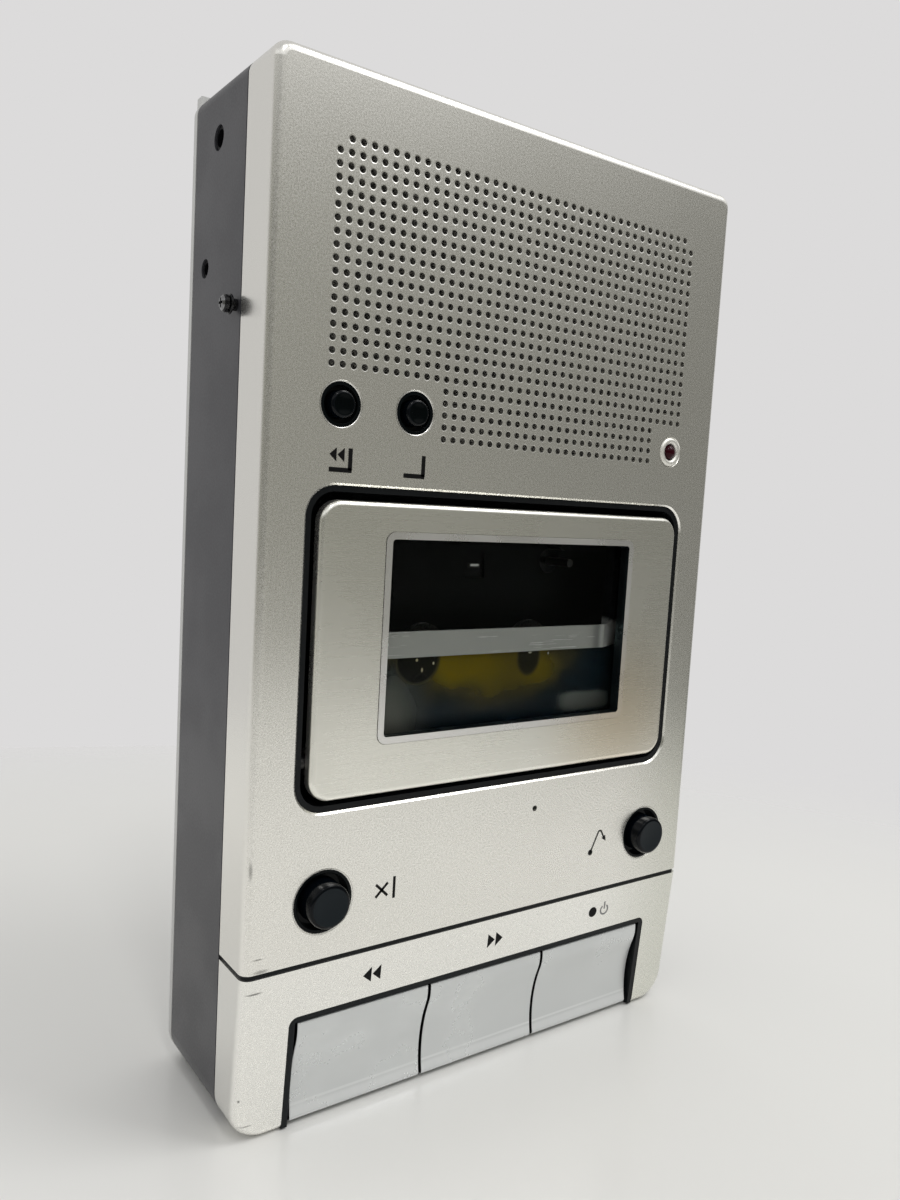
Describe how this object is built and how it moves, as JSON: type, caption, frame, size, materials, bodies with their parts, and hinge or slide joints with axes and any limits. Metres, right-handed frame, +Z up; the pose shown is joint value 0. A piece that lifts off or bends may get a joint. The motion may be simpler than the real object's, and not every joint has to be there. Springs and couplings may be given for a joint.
{
  "type": "desk cassette dictation machine",
  "caption": "Slim upright desk cassette recorder: round-hole speaker field, hinged cassette door with window, sloping keys and round buttons, with its drive inside.",
  "frame": {"origin": "centre of the base face, in the middle of the case's width and depth", "axes": "+X to the viewer's right from the front, +Y from the front to the back, +Z up"},
  "size_m": [0.1312, 0.0474, 0.2185],
  "materials": {
    "silver_shell": "silver metallic paint on plastic, fine grain",
    "dark_shell": "dark blue-grey, fine texture",
    "light_shell": "light silver-grey, satin",
    "black_plastic": "black, satin",
    "well_plastic": "slate black, satin",
    "key_plastic": "blue-grey, satin",
    "trim_plastic": "pale, satin, yellowed at the lower right",
    "clear_plastic": "clear, glossy",
    "smoked_plastic": "dark smoked, glossy",
    "lamp_red": "dark red, clear, unlit",
    "lamp_ring": "light, satin",
    "aluminium": "brushed, satin",
    "steel": "plain",
    "black_steel": "black oxide",
    "brass": "plain",
    "rubber": "matt",
    "cloth": "black speaker cloth",
    "cone_paper": "black paper",
    "board": "green solder mask",
    "component": "black moulded"
  },
  "bodies": {
    "casing": {"front_cover": "silver_shell", "lower_bezel": "silver_shell", "divider_strip": "black_plastic", "middle_case": "dark_shell", "back_cover": "light_shell", "case_screws": "steel", "rear_feet": "rubber", "side_screw": "black_steel", "speaker_cloth": "cloth", "speaker_frame": "steel", "speaker_cone": "cone_paper", "led_bezel": "lamp_ring", "led_lens": "lamp_red", "microphone": "rubber", "button_collars": "black_plastic", "push_switches": "component", "key_well": "well_plastic", "key_axle": "steel", "cassette_well": "well_plastic", "deck_cover": "black_plastic", "tape_sensor": "aluminium", "chassis_plate": "steel", "capstan_bearing": "brass", "inner_screws": "steel", "hinge_pins": "steel", "motor": "steel", "drive_belt": "rubber", "reel_belt": "rubber", "solenoid": "steel", "main_board": "board", "board_components": "component", "switch_boards": "board", "side_sockets": "component", "carriage_spring": "steel", "upper_left_spring": "steel", "upper_right_spring": "steel", "lower_left_spring": "steel", "lower_right_spring": "steel"},
    "door": {"cassette_door": "silver_shell", "window_trim": "trim_plastic", "door_window": "clear_plastic", "cassette_carrier": "black_plastic", "cassette_holder": "aluminium", "pocket_plate": "smoked_plastic"},
    "upper_left_cap": {"upper_left_button": "black_plastic"},
    "upper_right_cap": {"upper_right_button": "black_plastic"},
    "lower_left_cap": {"lower_left_button": "black_plastic"},
    "lower_right_cap": {"lower_right_button": "black_plastic"},
    "left_lever": {"left_key": "key_plastic"},
    "middle_lever": {"middle_key": "key_plastic"},
    "right_lever": {"right_key": "key_plastic"},
    "capstan_assembly": {"flywheel": "steel"},
    "motor_rotor": {"motor_pulley": "brass"},
    "left_reel": {"left_reel_spindle": "black_plastic"},
    "right_reel": {"right_reel_spindle": "black_plastic"},
    "carriage": {"head_carriage": "steel", "tape_head": "aluminium", "solenoid_plunger": "steel"},
    "pinch": {"pinch_arm": "steel"},
    "roller": {"pinch_roller": "rubber"}
  },
  "joints": [
    {"name": "door_hinge", "type": "hinge", "parent": "casing", "child": "door", "pos_m": [0, -0.01825, 0.08], "axis": [1, 0, 0], "range_deg": [0, 30]},
    {"name": "upper_left_press", "type": "slide", "parent": "casing", "child": "upper_left_cap", "axis": [0, 1, 0], "range_m": [0, 0.0016], "stiffness_N_per_m": 600, "deforming": ["upper_left_spring"]},
    {"name": "upper_right_press", "type": "slide", "parent": "casing", "child": "upper_right_cap", "axis": [0, 1, 0], "range_m": [0, 0.0016], "stiffness_N_per_m": 600, "deforming": ["upper_right_spring"]},
    {"name": "lower_left_press", "type": "slide", "parent": "casing", "child": "lower_left_cap", "axis": [0, 1, 0], "range_m": [0, 0.0025], "stiffness_N_per_m": 500, "deforming": ["lower_left_spring"]},
    {"name": "lower_right_press", "type": "slide", "parent": "casing", "child": "lower_right_cap", "axis": [0, 1, 0], "range_m": [0, 0.0025], "stiffness_N_per_m": 500, "deforming": ["lower_right_spring"]},
    {"name": "left_key_press", "type": "hinge", "parent": "casing", "child": "left_lever", "pos_m": [0, -0.01225, 0.029], "axis": [1, 0, 0], "range_deg": [0, 5], "stiffness_Nm_per_rad": 0.3},
    {"name": "middle_key_press", "type": "hinge", "parent": "casing", "child": "middle_lever", "pos_m": [0, -0.01225, 0.029], "axis": [1, 0, 0], "range_deg": [0, 5], "stiffness_Nm_per_rad": 0.3},
    {"name": "right_key_press", "type": "hinge", "parent": "casing", "child": "right_lever", "pos_m": [0, -0.01225, 0.029], "axis": [1, 0, 0], "range_deg": [0, 5], "stiffness_Nm_per_rad": 0.3},
    {"name": "flywheel_spin", "type": "hinge", "parent": "casing", "child": "capstan_assembly", "pos_m": [0.022, -0.00125, 0.1215], "axis": [0, 1, 0], "continuous": true},
    {"name": "motor_spin", "type": "hinge", "parent": "casing", "child": "motor_rotor", "pos_m": [-0.036, -0.00125, 0.118], "axis": [0, 1, 0], "continuous": true},
    {"name": "right_reel_spin", "type": "hinge", "parent": "casing", "child": "right_reel", "pos_m": [0.016, -0.00125, 0.1001], "axis": [0, 1, 0], "continuous": true},
    {"name": "left_reel_spin", "type": "hinge", "parent": "casing", "child": "left_reel", "pos_m": [-0.016, -0.00125, 0.1001], "axis": [0, 1, 0], "continuous": true},
    {"name": "head_slide", "type": "slide", "parent": "casing", "child": "carriage", "axis": [0, 0, -1], "range_m": [0, 0.0025], "stiffness_N_per_m": 400, "springref_m": -0.0015, "deforming": ["carriage_spring"]},
    {"name": "pinch_swing", "type": "hinge", "parent": "casing", "child": "pinch", "pos_m": [0.034, -0.00755, 0.131], "axis": [0, -1, 0], "range_deg": [0, 9.8]},
    {"name": "pinch_roller_spin", "type": "hinge", "parent": "pinch", "child": "roller", "pos_m": [0.022, -0.00125, 0.1289], "axis": [0, 1, 0], "continuous": true}
  ],
  "couplings": [
    {"joint": "motor_spin", "follows": "flywheel_spin", "ratio": 5.6667},
    {"joint": "right_reel_spin", "follows": "flywheel_spin", "ratio": 0.71429},
    {"joint": "pinch_swing", "follows": "head_slide", "rad_per_m": 67.719}
  ]
}
